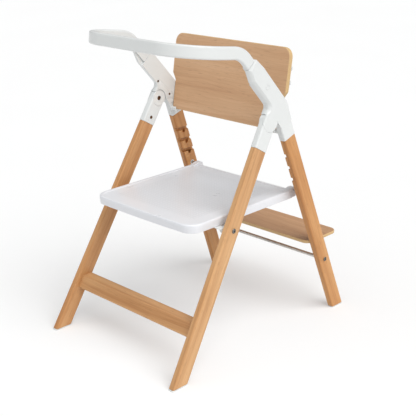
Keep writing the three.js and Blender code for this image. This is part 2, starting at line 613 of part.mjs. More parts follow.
function seatShell() {
  const plate = extrude(seatOutline(0), SEAT_DEPTH, { bevel: 2.8, segments: 8 }).translate(0, 0, seatBottom);
  const pocket = extrude(seatOutline(SEAT.wall), SEAT_DEPTH, { segments: 8 })
    .translate(0, 0, seatBottom - SEAT.wall);
  const ear = sidePlate(roundedOutline([
    [seatPin.y - 34, SEAT_TOP - 4, 0], [seatPin.y - 34, SEAT_TOP - 2, 0],
    [seatPin.y - 8, SEAT_PIN_Z + SEAT.earRadius, 8],
    [seatPin.y + SEAT.earRadius, SEAT_PIN_Z + SEAT.earRadius, 10],
    [seatPin.y + SEAT.earRadius, seatBottom + 1, 8], [seatPin.y - 34, seatBottom + 1, 4]]),
    SEAT.earInner, SEAT_HALF_WIDTH, { bevel: 1.6, segments: 3, bevelSegments: 1 });
  const [ribLow, ribHigh] = [seatBottom + 2, SEAT_TOP - 3];
  const ribs = SEAT.ribs.map((x) => block(x - 1.5, x + 1.5, -205, 178, ribLow, ribHigh));
  const crossRibs = SEAT.crossRibs.map((y) => block(-192, 192, y - 1.5, y + 1.5, ribLow, ribHigh));
  return cut(
    join(cut(plate, pocket), ear, mirrored(ear), ...ribs, ...crossRibs),
    crossPin(seatPin, BORE.seat, SEAT.pinInner, 240),
    crossPin(seatPin, BORE.seat, -240, -SEAT.pinInner));
}
add("seat_shell", whitePlastic(), seatShell());

const pinFace = legFace(SEAT_PIN_Z) - LEG_THICK; // inner face of a rear leg at the seat pin
const bushProud = 0.8;
const seatPinEnd = pinFace - bushProud - 0.7;
addPair("seat_pin", steel, crossPin(seatPin, 4, SEAT.pinInner + GAP, seatPinEnd, 20));
addPair("seat_pin_bush", whitePlastic, cut(
  crossPin(seatPin, 7.2, pinFace - bushProud, pinFace + NOTCH_DEPTH - GAP, 28),
  crossPin(seatPin, 4.8, 200, pinFace + NOTCH_DEPTH - 2)));

const lug = { inner: 203, outer: legFace(SEAT_AXIS_Z + 20) - LEG_THICK - 1.2, radius: 12 };
function seatBracket() {
  const top = seatBottom - GAP;
  const plate = block(150, lug.outer, seatAxis.y - 26, seatAxis.y + 26, top - 2, top);
  const ear = sidePlate(roundedOutline([
    [seatAxis.y - lug.radius, SEAT_AXIS_Z - lug.radius, 10],
    [seatAxis.y + lug.radius, SEAT_AXIS_Z - lug.radius, 10],
    [seatAxis.y + 20, top - 1, 0], [seatAxis.y - 20, top - 1, 0]]), lug.inner, lug.outer, { segments: 4 });
  const nutRoom = crossPin(seatAxis, 10, lug.inner - 12, lug.inner, 24);
  return cut(join(plate, ear), crossPin(seatAxis, 4.4, 190, 230), nutRoom);
}
addPair("seat_bracket", whitePlastic, seatBracket());

// A button-head bolt along X with a hexagon recess, its head on the outside of a leg.
function outerBolt(point, innerX, shankRadius, headRadius) {
  const face = legFace(point.z) + 0.6;
  const shank = crossPin(point, shankRadius, innerX, face + 1, 20);
  const head = crossPin(point, headRadius, face, face + 2.4, 24);
  return cut(join(shank, head), crossPin(point, headRadius * 0.45, face + 0.9, face + 5, 6));
}
addPair("seat_bolt", steel, outerBolt(seatAxis, lug.inner - 9, 3.9, 6.6));
addPair("seat_nut", steel, cut(
  crossPin(seatAxis, 7, lug.inner - 6.5, lug.inner - GAP, 6), crossPin(seatAxis, 4.2, 180, 220)));

// ---------- Footplate and tie rod ----------
const footplateOutline = roundedRect(
  2 * (footplateInner + FOOTPLATE.groove - GAP), FOOTPLATE.depth, FOOTPLATE.corner);
add("footplate", plywood(), extrude(footplateOutline, FOOTPLATE_THICK, { bevel: 1.4, segments: 5 })
  .translate(0, FOOTPLATE.front + FOOTPLATE.depth / 2, FOOTPLATE_TOP - FOOTPLATE_THICK));

const rodEnd = legFace(TIE_ROD_Z) - LEG_THICK - 0.9;
const rod = crossPin(tieRod, 5, -rodEnd, rodEnd, 20);
const thread = crossPin(tieRod, 4, rodEnd - 25, rodEnd + 5, 20);
add("tie_rod", steel(), cut(rod, thread, mirrored(thread)));
addPair("tie_rod_bolt", steel, outerBolt(tieRod, rodEnd - 18, 3.6, 6.2));

export default chair;
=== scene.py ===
import json
from math import asin, atan2, cos, hypot, pi, radians, sin, tan

import bmesh
import bpy
from mathutils import Matrix, Vector


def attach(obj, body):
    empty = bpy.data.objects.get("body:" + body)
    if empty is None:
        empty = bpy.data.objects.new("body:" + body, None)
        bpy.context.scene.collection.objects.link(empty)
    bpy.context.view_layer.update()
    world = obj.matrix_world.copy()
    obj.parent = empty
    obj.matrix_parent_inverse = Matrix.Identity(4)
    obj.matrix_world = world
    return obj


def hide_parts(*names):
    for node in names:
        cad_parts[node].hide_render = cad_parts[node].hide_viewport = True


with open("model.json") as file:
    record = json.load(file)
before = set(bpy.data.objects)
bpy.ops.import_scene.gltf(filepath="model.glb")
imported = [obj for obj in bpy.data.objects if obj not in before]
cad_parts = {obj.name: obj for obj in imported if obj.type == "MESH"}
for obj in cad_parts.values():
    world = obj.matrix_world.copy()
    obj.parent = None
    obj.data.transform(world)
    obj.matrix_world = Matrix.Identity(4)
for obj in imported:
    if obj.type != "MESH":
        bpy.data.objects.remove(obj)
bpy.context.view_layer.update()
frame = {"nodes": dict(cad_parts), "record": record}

# Lengths are in millimetres until a piece is made, and angles in radians.
MM = 0.001
LEFT, RIGHT = 1, -1

# ---------- Dimensions shared with the CAD model ----------
GAP = 0.35
HALF_WIDTH, HALF_DEPTH = 255, 352.8
SPLAY = radians(2.75)
LEG_THICK, LEG_WIDTH, LEG_EDGE = 20, 45, 5
FRONT_LEAN, REAR_LEAN = radians(31.4), radians(19.8)
GLIDE_THICK = 3
PIVOT_Z, HEAD_RADIUS, TONGUE_RADIUS = 617, 23, 27.5
SLEEVE_WALL, FRONT_SLEEVE, REAR_SLEEVE, REAR_SLEEVE_Z = 2.6, 79, 62, 560.5
TENON, TENON_EDGE = 42, 3
HUB_INNER, HUB_OUTER, PLATE_THICK, COVER_THICK, PIVOT_BORE = 204.2, 226.8, 5.6, 3, 4.5
ARM_TILT = radians(42)
RAIL_HEIGHT, RAIL_THICK, RAIL_SLOPE, RAIL_X = 33, 15, radians(7.8), 214.5
RAIL_FRONT_Y, RAIL_FRONT_Z, RAIL_CORNER, RAIL_KNEE = -231.5, 833.5, 110, 70
SEAT_TOP, SEAT_DEPTH, SEAT_HALF_WIDTH = 391.3, 23.5, 195.8
SEAT_FRONT_Y, SEAT_REAR_Y = -219, 183
SEAT_AXIS_Z, SEAT_PIN_Z, NOTCH_RISE, NOTCH_DEPTH, BUSH_BORE = 361, 389, 35.8, 8, 7.6
PANEL_THICK, PANEL_LEAN = 13, radians(9.9)
PANEL_BOTTOM, PANEL_FACE_Y, PANEL_LENGTH = 578, 100.9, 222
PANEL = {"lower": 203.6, "upper": 217, "step_low": 86, "step_high": 106, "corner": 26}
PANEL_FRAME = Matrix.Translation((0, PANEL_FACE_Y, PANEL_BOTTOM)) @ Matrix.Rotation(-PANEL_LEAN, 4, "X")
FOOTPLATE_TOP, FOOTPLATE_THICK, FOOTPLATE_GROOVE = 233, 9, 5
TIE_ROD_Z, ROD_BORE = 168, 4.3


def leg_centre(front, z):
    """The point (y, z) on the centre line of a front or rear leg at height z."""
    if front:
        return (-HALF_DEPTH + LEG_WIDTH / 2 / cos(FRONT_LEAN) + z * tan(FRONT_LEAN), z)
    return (HALF_DEPTH - LEG_WIDTH / 2 / cos(REAR_LEAN) - z * tan(REAR_LEAN), z)


def leg_face(z):
    """How far from the middle the outer face of a leg is at height z."""
    return HALF_WIDTH - z * tan(SPLAY)


def leg_frame(side, front):
    """The frame of a leg: its origin on the floor in the outer face, its Z axis along the leg."""
    lean = -FRONT_LEAN if front else REAR_LEAN
    turn = Matrix.Rotation(-side * SPLAY, 4, "Y") @ Matrix.Rotation(lean, 4, "X")
    return Matrix.Translation((side * HALF_WIDTH, leg_centre(front, 0)[0], 0)) @ turn


def along_leg(z, lean):
    """How far along a leg height z is."""
    return z / cos(lean) / cos(SPLAY)


PIVOT = leg_centre(True, PIVOT_Z)
SEAT_AXIS = leg_centre(True, SEAT_AXIS_Z)
SEAT_PIN = leg_centre(False, SEAT_PIN_Z)
TIE_ROD = leg_centre(False, TIE_ROD_Z)
FRONT_SHOULDER = along_leg(PIVOT_Z, FRONT_LEAN) - FRONT_SLEEVE
REAR_SHOULDER = along_leg(REAR_SLEEVE_Z, REAR_LEAN)
PLATE_INNER, HEAD_INNER = HUB_OUTER - PLATE_THICK, HUB_INNER + 0.4


# ---------- Camera ----------
def make_camera():
    place = (1.7192, -1.672, 1.2014)
    yaw, pitch, roll = 0.7879, -0.34563, -0.0192
    look = Vector((-sin(yaw) * cos(pitch), cos(yaw) * cos(pitch), sin(pitch)))
    level = look.cross(Vector((0, 0, 1))).normalized()
    up = level.cross(look)
    across = cos(roll) * level + sin(roll) * up
    upright = -sin(roll) * level + cos(roll) * up
    camera = bpy.data.objects.new("camera", bpy.data.cameras.new("camera"))
    turn = Matrix((across, upright, -look)).transposed().to_4x4()
    camera.matrix_world = Matrix.Translation(place) @ turn
    camera.data.sensor_width = 36
    camera.data.lens = 77.78
    camera.data.clip_end = 50
    bpy.context.scene.collection.objects.link(camera)
    bpy.context.scene.camera = camera


make_camera()


# ---------- Materials ----------
class Graph:
    """A material's node tree, built one node at a time."""

    def __init__(self, name):
        self.material = bpy.data.materials.new(name)
        self.material.use_nodes = True
        self.tree = self.material.node_tree
        self.shader = self.tree.nodes["Principled BSDF"]

    def node(self, kind, settings=None, **inputs):
        """Adds a node. An input is named as in Blender, or i0, i1 and so on by its place."""
        node = self.tree.nodes.new("ShaderNode" + kind)
        for key, value in (settings or {}).items():
            setattr(node, key, value)
        for key, value in inputs.items():
            index = int(key[1:]) if key[0] == "i" and key[1:].isdigit() else key
            self.feed(node.inputs[index], value)
        return node.outputs

    def feed(self, socket, value):
        if isinstance(value, bpy.types.NodeSocket):
            self.tree.links.new(value, socket)
        else:
            socket.default_value = value

    def surface(self, **inputs):
        for key, value in inputs.items():
            self.feed(self.shader.inputs[key.replace("_", " ")], value)

    def stretched(self, vector, scale):
        return self.node("Mapping", Vector=vector, Scale=scale)[0]

    def noise(self, vector, detail=3, roughness=0.5, scale=1.0):
        return self.node("TexNoise", Vector=vector, Scale=scale, Detail=detail, Roughness=roughness)["Fac"]

    def remap(self, value, low, high, start=0.0, end=1.0, interpolation="LINEAR"):
        """Takes values between start and end to values between low and high."""
        limits = {"From Min": start, "From Max": end, "To Min": low, "To Max": high}
        return self.node("MapRange", {"interpolation_type": interpolation}, Value=value, **limits)[0]

    def ramp(self, value, *stops):
        outputs = self.node("ValToRGB", Fac=value)
        ramp = outputs[0].node.color_ramp
        while len(ramp.elements) < len(stops):
            ramp.elements.new(0.5)
        for element, (position, colour) in zip(ramp.elements, stops):
            element.position = position
            element.color = (*colour, 1) if isinstance(colour, tuple) else (colour, colour, colour, 1)
        return outputs["Color"]

    def math(self, operation, a, b=0.0, c=0.0):
        return self.node("Math", {"operation": operation}, i0=a, i1=b, i2=c)[0]

    def swayed(self, vector, amount, scale):
        """The vector moved in X and Y by an amount times a scale."""
        both = self.node("CombineXYZ", X=amount, Y=amount, Z=0.0)[0]
        return self.node("VectorMath", {"operation": "MULTIPLY_ADD"}, i0=both, i1=(scale, scale, 0),
                         i2=vector)[0]

    def mix(self, factor, a, b, blend="MIX"):
        return self.node("Mix", {"data_type": "RGBA", "blend_type": blend}, i0=factor, i6=a, i7=b)[2]

    def bump(self, height, strength, distance):
        return self.node("Bump", Height=height, Strength=strength, Distance=distance)[0]


def tone(red, green, blue):
    """A colour given as it looks on screen, from 0 to 255."""
    def linear(value):
        value /= 255
        return value / 12.92 if value <= 0.04045 else ((value + 0.055) / 1.055) ** 2.4
    return (linear(red), linear(green), linear(blue))


def shade(colour, factor):
    """The colour darkened by a factor, with an alpha of 1."""
    return (*[channel * factor for channel in colour], 1)


GRAIN_TURNS = {"Z": (0, 0, 0), "X": (0, pi / 2, 0)}  # turns a piece's grain direction to Z
RING_WAVE = {"wave_type": "RINGS", "rings_direction": "Z", "wave_profile": "SAW"}


def wood(name, light, mid, dark, grain, seed, figured=0.0, fibre=0.3):
    """Lacquered beech: soft bands, fine fibres and the short dark flecks of its rays."""
    g = Graph(name)
    place = g.node("TexCoord")["Object"]
    turned = g.node("Mapping", Vector=place, Rotation=GRAIN_TURNS[grain],
                    Location=(seed, 0.37 * seed, 1.7 * seed))[0]
    swayed = g.swayed(turned, g.noise(g.stretched(turned, (6, 6, 2.2)), 2), 0.02)
    bands = g.noise(g.stretched(swayed, (55, 55, 1.6)), 4, 0.55)
    fibres = g.noise(g.stretched(swayed, (650, 650, 14)), 3, 0.65)
    cloudy = g.noise(g.stretched(turned, (9, 9, 3)), 2)
    base = g.ramp(g.math("ADD", g.math("MULTIPLY", bands, 0.7), g.math("MULTIPLY", cloudy, 0.3)),
                  (0.34, dark), (0.5, mid), (0.66, light))
    if figured > 0:
        # Flat-sawn veneer: the blade cuts the growth rings at a glancing angle.
        warp = g.noise(g.stretched(turned, (9, 9, 3.2)))
        rings = g.swayed(g.stretched(turned, (1, 1, 0.09)), warp, 0.05)
        wave = g.node("TexWave", RING_WAVE, Vector=rings, Scale=34, Distortion=1.2, Detail=2, i4=1.5)["Fac"]
        lines = g.ramp(wave, (0.0, 0.0), (0.75, 0.25), (0.95, 1.0), (1.0, 0.0))
        base = g.mix(g.math("MULTIPLY", lines, figured), base, shade(dark, 1), "MULTIPLY")
    base = g.mix(fibre, base, g.ramp(fibres, (0.3, 0.55), (0.6, 1.0)), "MULTIPLY")
    flecks = g.noise(g.stretched(swayed, (420, 420, 42)), 1, 0.4)
    fleck = g.ramp(flecks, (0.66, 0.0), (0.72, 1.0))
    base = g.mix(g.math("MULTIPLY", fleck, 0.3), base, shade(dark, 0.55))
    relief = g.math("SUBTRACT", g.math("MULTIPLY", fibres, 0.5), fleck)
    g.surface(Base_Color=base, Roughness=g.remap(fibres, 0.4, 0.56), Normal=g.bump(relief, 0.1, 0.0004),
              Coat_Weight=0.12, Coat_Roughness=0.3, Specular_IOR_Level=0.4)
    return g.material


def ply_edge(name, axis):
    """The edge of a plywood plate: cream plies, every second one in end grain and a little darker."""
    two_plies = 0.0026
    g = Graph(name)
    place = g.node("TexCoord")["Object"]
    parts = g.node("SeparateXYZ", Vector=place)
    wobble = g.noise(g.stretched(place, (30, 30, 30)), 2)
    depth = g.math("MULTIPLY_ADD", parts[axis], 1 / two_plies, g.math("MULTIPLY", wobble, 0.12))
    line = g.ramp(g.math("FRACT", depth), (0.0, 0.0), (0.42, 0.0), (0.52, 1.0), (0.9, 1.0), (1.0, 0.0))
    pores = g.noise(g.stretched(place, (900, 900, 900)), 2)
    base = g.mix(line, shade(tone(218, 188, 138), 1), shade(tone(190, 150, 100), 1))
    base = g.mix(0.25, base, g.ramp(pores, (0.3, 0.6), (0.6, 1.0)), "MULTIPLY")
    g.surface(Base_Color=base, Roughness=g.remap(pores, 0.45, 0.62),
              Normal=g.bump(g.math("MULTIPLY", pores, line), 0.15, 0.0004))
    return g.material


def handled(g, place, scale, roughness, colour):
    """Faint handling marks, and the colour a little darker where they are."""
    marks = g.noise(g.stretched(place, (scale, scale, scale)), 5, roughness)
    return marks, g.ramp(marks, (0.3, tuple(c * 0.988 for c in colour)), (0.65, colour))


def plastic(name, colour, rough=(0.3, 0.35), bump=0.05, coat=0.1):
    """Moulded plastic with a fine spark-eroded grain."""
    g = Graph(name)
    place = g.node("TexCoord")["Object"]
    grain = g.noise(g.stretched(place, (1500, 1500, 1500)), 2)
    marks, base = handled(g, place, 14, 0.65, colour)
    g.surface(Base_Color=base, Roughness=g.remap(marks, *rough, 0.3, 0.7), Normal=g.bump(grain, bump, 0.0002),
              Coat_Weight=coat, Coat_Roughness=0.12)
    return g.material


def grip_plastic(name, colour):
    """The seat's plastic: flat raised dots on a square grid inside a plain border, the ground between the
    dots a little darker as painted shade. Lengths in metres.
    """
    pitch, dot, dot_edge = 0.01, 0.33, 0.12
    half_width, half_depth, middle_y, fade = 0.147, 0.15, -0.012, 0.012
    g = Graph(name)
    place = g.node("TexCoord")["Object"]
    parts = g.node("SeparateXYZ", Vector=place)

    def squared_from_dot(value):
        cell = g.math("FRACT", g.math("DIVIDE", value, pitch))
        return g.math("POWER", g.math("SUBTRACT", cell, 0.5), 2.0)

    def inside(value, middle, half):
        away = g.math("ABSOLUTE", g.math("SUBTRACT", value, middle))
        return g.remap(away, 1.0, 0.0, half, half + fade)
    radius = g.math("SQRT", g.math("ADD", squared_from_dot(parts[0]), squared_from_dot(parts[1])))
    dots = g.remap(radius, 0.0, 1.0, dot, dot - dot_edge, "SMOOTHSTEP")
    field = g.math("MULTIPLY", inside(parts[0], 0.0, half_width), inside(parts[1], middle_y, half_depth))
    relief = g.math("MULTIPLY", dots, field)
    grain = g.noise(g.stretched(place, (1200, 1200, 1200)), 2)
    marks, base = handled(g, place, 12, 0.6, colour)
    # Painted shade: the ground between the raised dots is darkened a little.
    between = g.math("SUBTRACT", field, relief)
    base = g.mix(g.math("MULTIPLY", between, 0.2), base, shade(colour, 0.72))
    height = g.math("ADD", relief, g.math("MULTIPLY", grain, 0.06))
    g.surface(Base_Color=base, Roughness=g.remap(marks, 0.27, 0.38, 0.3, 0.7),
              Normal=g.bump(height, 0.5, 0.0006), Coat_Weight=0.1, Coat_Roughness=0.15)
    return g.material


def metal(name, colour, rough, brushed=0.1):
    """Turned or plated steel, with faint machining marks and duller patches."""
    g = Graph(name)
    place = g.node("TexCoord")["Object"]
    lines = g.noise(g.stretched(place, (60, 2600, 2600)), 2)
    patches = g.noise(g.stretched(place, (120, 120, 120)), 4)
    base = g.ramp(patches, (0.35, tuple(c * 0.8 for c in colour)), (0.6, colour))
    g.surface(Base_Color=base, Metallic=1.0, Roughness=g.remap(patches, rough, rough + 0.15, 0.3, 0.7),
              Normal=g.bump(lines, brushed, 0.0002))
    return g.material


BEECH = (tone(209, 160, 110), tone(195, 141, 90), tone(172, 115, 68))
PALE_BEECH = (tone(215, 170, 121), tone(202, 153, 104), tone(175, 122, 75))
WARM_BEECH = (tone(212, 160, 105), tone(196, 139, 83), tone(172, 113, 62))
VENEER = (tone(214, 174, 136), tone(208, 166, 127), tone(198, 154, 115))
# Painted shade: the footplate's veneer is a darker copy of the backrest's, for the shade under the seat.
SHADED_FOOT_VENEER = (tone(198, 156, 120), tone(190, 148, 111), tone(180, 136, 100))
WHITE = plastic("white_plastic_look", tone(217, 219, 218))
SEAT_WHITE = grip_plastic("seat_plastic_look", tone(223, 224, 228))
GLIDE = plastic("glide_plastic_look", tone(214, 216, 214), rough=(0.5, 0.65), bump=0.2, coat=0.0)
STEEL = metal("steel_look", tone(214, 210, 204), 0.36, 0.04)
BOLT = metal("bolt_look", tone(128, 126, 122), 0.24, 0.05)
BRONZE = metal("bronze_look", tone(112, 84, 62), 0.35)


# ---------- Outlines ----------
def rounded(corners, segments):
    """A closed outline through corners (a, b, radius), each rounded by an arc of its own radius."""
    points = []
    for i, corner in enumerate(corners):
        here = Vector(corner[:2])
        radius = corner[2] if len(corner) > 2 else 0
        if radius == 0:
            points.append(tuple(here))
            continue
        back = (Vector(corners[i - 1][:2]) - here).normalized()
        on = (Vector(corners[(i + 1) % len(corners)][:2]) - here).normalized()
        half = back.angle(on) / 2
        centre = here + (back + on).normalized() * radius / sin(half)
        start = here + back * radius / tan(half) - centre
        end = here + on * radius / tan(half) - centre
        sweep = start.angle_signed(end)
        for k in range(segments + 1):
            points.append(tuple(centre + start @ Matrix.Rotation(sweep * k / segments, 2)))
    return points


def rectangle(width, height, radius, segments):
    x, y = width / 2, height / 2
    return rounded([(-x, -y, radius), (x, -y, radius), (x, y, radius), (-x, y, radius)], segments)


def circle(centre, radius, sides):
    return [(centre[0] + radius * cos(2 * pi * k / sides), centre[1] + radius * sin(2 * pi * k / sides))
            for k in range(sides)]


def inset(points, amounts):
    """The outline moved inwards, by one amount or by one for each point."""
    if not isinstance(amounts, (list, tuple)):
        amounts = [amounts] * len(points)
    area = sum(a[0] * b[1] - b[0] * a[1] for a, b in zip(points, points[1:] + points[:1]))
    moved = []
    for i, point in enumerate(points):
        before, here, after = Vector(points[i - 1]), Vector(point), Vector(points[(i + 1) % len(points)])
        first, second = (here - before).normalized(), (after - here).normalized()
        normal = Vector((-first.y - second.y, first.x + second.x)).normalized()
        if area < 0:
            normal.negate()
        spread = max(abs(normal.x * first.y - normal.y * first.x), 0.4)
        moved.append(tuple(here + normal * amounts[i] / spread))
    return moved


# ---------- Meshes ----------
def skinned(bm, rings):
    """Closes a body between rings of points that have the same number of points."""
    for low, high in zip(rings, rings[1:]):
        for i in range(len(low)):
            bm.faces.new((low[i - 1], low[i], high[i], high[i - 1]))
    bm.faces.new(rings[0])
    bm.faces.new(rings[-1])
    bmesh.ops.recalc_face_normals(bm, faces=bm.faces)
    return bm


def from_levels(levels, place):
    """A closed body from outlines with the same number of points, each at its own level."""
    bm = bmesh.new()
    return skinned(bm, [[bm.verts.new(place(*point, level)) for point in points] for points, level in levels])


def round_levels(points, low, high, edge, steps):
    """Levels of a plate whose top and bottom edges are rounded."""
    arc = [(edge * (1 - sin(pi / 2 * k / steps)), edge * (1 - cos(pi / 2 * k / steps)))
           for k in range(steps + 1)]
    bottom = [(inset(points, away), low + up) for away, up in arc]
    top = [(inset(points, away), high - up) for away, up in reversed(arc)]
    return bottom + top


def side_view(a, b, x):
    return (x, a, b)


def upright_view(a, b, level):
    return (a, b, level)


def side_plate(points, x0, x1, edge=0.0, steps=3):
    levels = round_levels(points, x0, x1, edge, steps) if edge else [(points, x0), (points, x1)]
    return from_levels(levels, side_view)


def side_box(y0, z0, y1, z1, x0, x1):
    return side_plate([(y0, z0), (y1, z0), (y1, z1), (y0, z1)], x0, x1)


def cross_pin(centre, radius, x0, x1, sides=32):
    return side_plate(circle(centre, radius, sides), x0, x1)


def lathe_x(profile, centre, sides):
    """A turned body about an axis along X, from a profile of (radius, x) that is closed on the axis."""
    bm = bmesh.new()
    rings = []
    for radius, x in profile:
        ring = [centre] if radius == 0 else circle(centre, radius, sides)
        rings.append([bm.verts.new((x, *point)) for point in ring])
    for low, high in zip(rings, rings[1:]):
        for i in range(sides):
            below = low if len(low) == 1 else (low[i - 1], low[i])
            above = high if len(high) == 1 else (high[i], high[i - 1])
            bm.faces.new((*below, *above))
    bmesh.ops.recalc_face_normals(bm, faces=bm.faces)
    return bm


def transformed(bm, matrix):
    bmesh.ops.transform(bm, matrix=matrix, verts=bm.verts)
    return bm


def leg_section(thick, width, radius, segments=8):
    """A section in a leg's frame, centred in the leg's thickness."""
    return [(x - LEG_THICK / 2, y) for x, y in rectangle(thick, width, radius, segments)]


def sleeve_tube(front, low, high):
    """The outside of a plastic sleeve around a leg, between two distances along it."""
    section = leg_section(LEG_THICK + 1, 2 * HEAD_RADIUS, LEG_EDGE)
    levels = [(inset(section, 0.6), low), (section, low + 0.8), (section, high)]
    return transformed(from_levels(levels, upright_view), leg_frame(LEFT, front))


def tenon_socket(front, shoulder):
    """Room for a leg's tenon inside its sleeve."""
    section = leg_section(LEG_THICK - 2 * SLEEVE_WALL, LEG_WIDTH - 2 * SLEEVE_WALL, TENON_EDGE, 6)
    levels = [(section, shoulder - 5), (section, shoulder + TENON + 2)]
    return transformed(from_levels(levels, upright_view), leg_frame(LEFT, front))


def temporary(bm):
    mesh = bpy.data.meshes.new("temporary")
    bm.to_mesh(mesh)
    bm.free()
    obj = bpy.data.objects.new("temporary", mesh)
    bpy.context.scene.collection.objects.link(obj)
    return obj


def bake(obj):
    """Applies an object's modifiers to its mesh."""
    bpy.context.view_layer.update()
    graph = bpy.context.evaluated_depsgraph_get()
    mesh = bpy.data.meshes.new_from_object(obj.evaluated_get(graph))
    obj.modifiers.clear()
    old, obj.data = obj.data, mesh
    bpy.data.meshes.remove(old)


def clean(mesh, join_faces=False):
    """Merges points that coincide, and on request faces that lie in one plane."""
    bm = bmesh.new()
    bm.from_mesh(mesh)
    bmesh.ops.remove_doubles(bm, verts=bm.verts, dist=0.01)
    bmesh.ops.dissolve_degenerate(bm, edges=bm.edges, dist=0.01)
    if join_faces:
        bmesh.ops.dissolve_limit(bm, angle_limit=radians(0.5), verts=bm.verts, edges=bm.edges)
    bm.to_mesh(mesh)
    bm.free()


SHARP = radians(38)  # edges at least this sharp are rounded


def combine(base, join=(), cut=(), soften=0.0):
    """Joins and cuts bmeshes in millimetres, one after another, then rounds the sharp edges a little."""
    target = temporary(base)
    for tool_mesh, operation in [(bm, "UNION") for bm in join] + [(bm, "DIFFERENCE") for bm in cut]:
        tool = temporary(tool_mesh)
        modifier = target.modifiers.new(operation, "BOOLEAN")
        modifier.solver = "EXACT"
        modifier.operation = operation
        modifier.object = tool
        bake(target)
        bpy.data.objects.remove(tool)
        clean(target.data)
    clean(target.data, join_faces=True)
    if soften:
        modifier = target.modifiers.new("soften", "BEVEL")
        modifier.width = soften
        modifier.segments = 2
        modifier.limit_method = "ANGLE"
        modifier.angle_limit = SHARP
        modifier.use_clamp_overlap = True
        modifier.miter_outer = "MITER_ARC"
        bake(target)
    result = bmesh.new()
    result.from_mesh(target.data)
    bpy.data.objects.remove(target)
    return result


def mirrored(bm):
    copy = bm.copy()
    bmesh.ops.scale(copy, vec=(-1, 1, 1), verts=copy.verts)
    bmesh.ops.reverse_faces(copy, faces=copy.faces)
    return copy


def body_of_node(node):
    return next(body for body, nodes in frame["record"]["behaviour"]["bodies"].items() if node in nodes)


def piece(node, bm, *materials, matrix=None, smooth=35):
    """A finished piece in place of a CAD node. The bmesh is in millimetres in the piece's own frame."""
    mesh = bpy.data.meshes.new(node + ".look")
    bmesh.ops.scale(bm, vec=(MM, MM, MM), verts=bm.verts)
    bm.to_mesh(mesh)
    bm.free()
    mesh.shade_smooth()
    mesh.set_sharp_from_angle(angle=radians(smooth))
    obj = bpy.data.objects.new(node + ".look", mesh)
    for material in materials:
        mesh.materials.append(material)
    bpy.context.scene.collection.objects.link(obj)
    if matrix is not None:
        scaled = matrix.copy()
        scaled.translation *= MM
        obj.matrix_world = scaled
    weigh = obj.modifiers.new("weigh", "WEIGHTED_NORMAL")
    weigh.keep_sharp = True
    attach(obj, body_of_node(node))
    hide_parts(node)


def piece_pair(name, bm, left_material, right_material, frames=(None, None)):
    """A left piece and its mirror image."""
    other = mirrored(bm)
    piece(f"{name}_left", bm, left_material, matrix=frames[0])
    piece(f"{name}_right", other, right_material, matrix=frames[1])


def finish_node(node, material, edge):
    """Gives a CAD node its material, smooth shading and slightly rounded edges."""
    obj = frame["nodes"][node]
    obj.data.materials.clear()
    obj.data.materials.append(material)
    weld = obj.modifiers.new("weld", "WELD")
    weld.merge_threshold = 2e-6
    bevel = obj.modifiers.new("edge", "BEVEL")
    bevel.width = edge * MM
    bevel.segments = 2
    bevel.limit_method = "ANGLE"
    bevel.angle_limit = SHARP
    obj.data.shade_smooth()
    obj.data.set_sharp_from_angle(angle=radians(35))


# ---------- Legs ----------
def beech(seed, tones=BEECH, grain="Z"):
    return wood(f"beech_look_{seed}", *tones, grain=grain, seed=0.6 * seed)


def leg(front, shoulder, cutters):
    """A leg in its left frame: cut level at the floor, its edges rounded, a tenon at the top."""
    frame_matrix = leg_frame(LEFT, front)
    a, b, c, _ = frame_matrix[2]
    section = leg_section(LEG_THICK, LEG_WIDTH, LEG_EDGE)
    tenon = leg_section(LEG_THICK - 2 * SLEEVE_WALL - GAP, LEG_WIDTH - 2 * SLEEVE_WALL - GAP, TENON_EDGE)
    floor, square_from, top = GLIDE_THICK + GAP, 161, shoulder - GAP

    def place(x, y, level):
        """Levels near the floor lie flat, the others square to the leg."""
        if level < square_from:
            return (x, y, (level - a * x - b * y) / c)
        return (x, y, level)
    levels = [(inset(section, 1.2), floor), (inset(section, 0.4), floor + 0.4), (section, floor + 1.4),
              (section, square_from), (section, top - 0.8), (inset(section, 0.8), top), (tenon, top + 0.01),
              (tenon, top + TENON)]
    body = from_levels(levels, place)
    local = [transformed(cutter, frame_matrix.inverted()) for cutter in cutters]
    return combine(body, cut=local, soften=0.6) if local else body


def rear_leg_cutters():
    """The notches for the seat pin, the bush's hole, the footplate's groove and the tie rod's hole."""
    clear = 6  # how far a cutter stands out of the leg's inner face
    cutters = []
    for step in (1, 2, 3):
        # A level channel in the inner face that drops into a round seat for the pin.
        y, z = leg_centre(False, SEAT_PIN_Z + step * NOTCH_RISE)
        inner = leg_face(z) - LEG_THICK
        low, high, half = z + 4, z + 15, 4.8
        cutters.append(side_box(y - 50, low, y + 50, high, inner - clear, inner + NOTCH_DEPTH))
        drop = rounded([(y - half, z - half, 4.5), (y + half, z - half, 4.5), (y + 7.5, z + 6),
                        (y - half, z + 6)], 4)
        cutters.append(side_plate(drop, inner - clear, inner + NOTCH_DEPTH))
    inner = leg_face(SEAT_PIN_Z) - LEG_THICK
    cutters.append(cross_pin(SEAT_PIN, BUSH_BORE, inner - clear, inner + NOTCH_DEPTH))
    inner = leg_face(FOOTPLATE_TOP) - LEG_THICK
    cutters.append(side_box(150, FOOTPLATE_TOP - FOOTPLATE_THICK - GAP, 350, FOOTPLATE_TOP + GAP,
                            inner - clear, inner + FOOTPLATE_GROOVE))
    cutters.append(cross_pin(TIE_ROD, ROD_BORE, 200, 270))
    return cutters


piece_pair("front_leg", leg(True, FRONT_SHOULDER, []), beech(1, PALE_BEECH), beech(2),
           (leg_frame(LEFT, True), leg_frame(RIGHT, True)))
piece_pair("rear_leg", leg(False, REAR_SHOULDER, rear_leg_cutters()),
           beech(3, WARM_BEECH), beech(4, WARM_BEECH), (leg_frame(LEFT, False), leg_frame(RIGHT, False)))


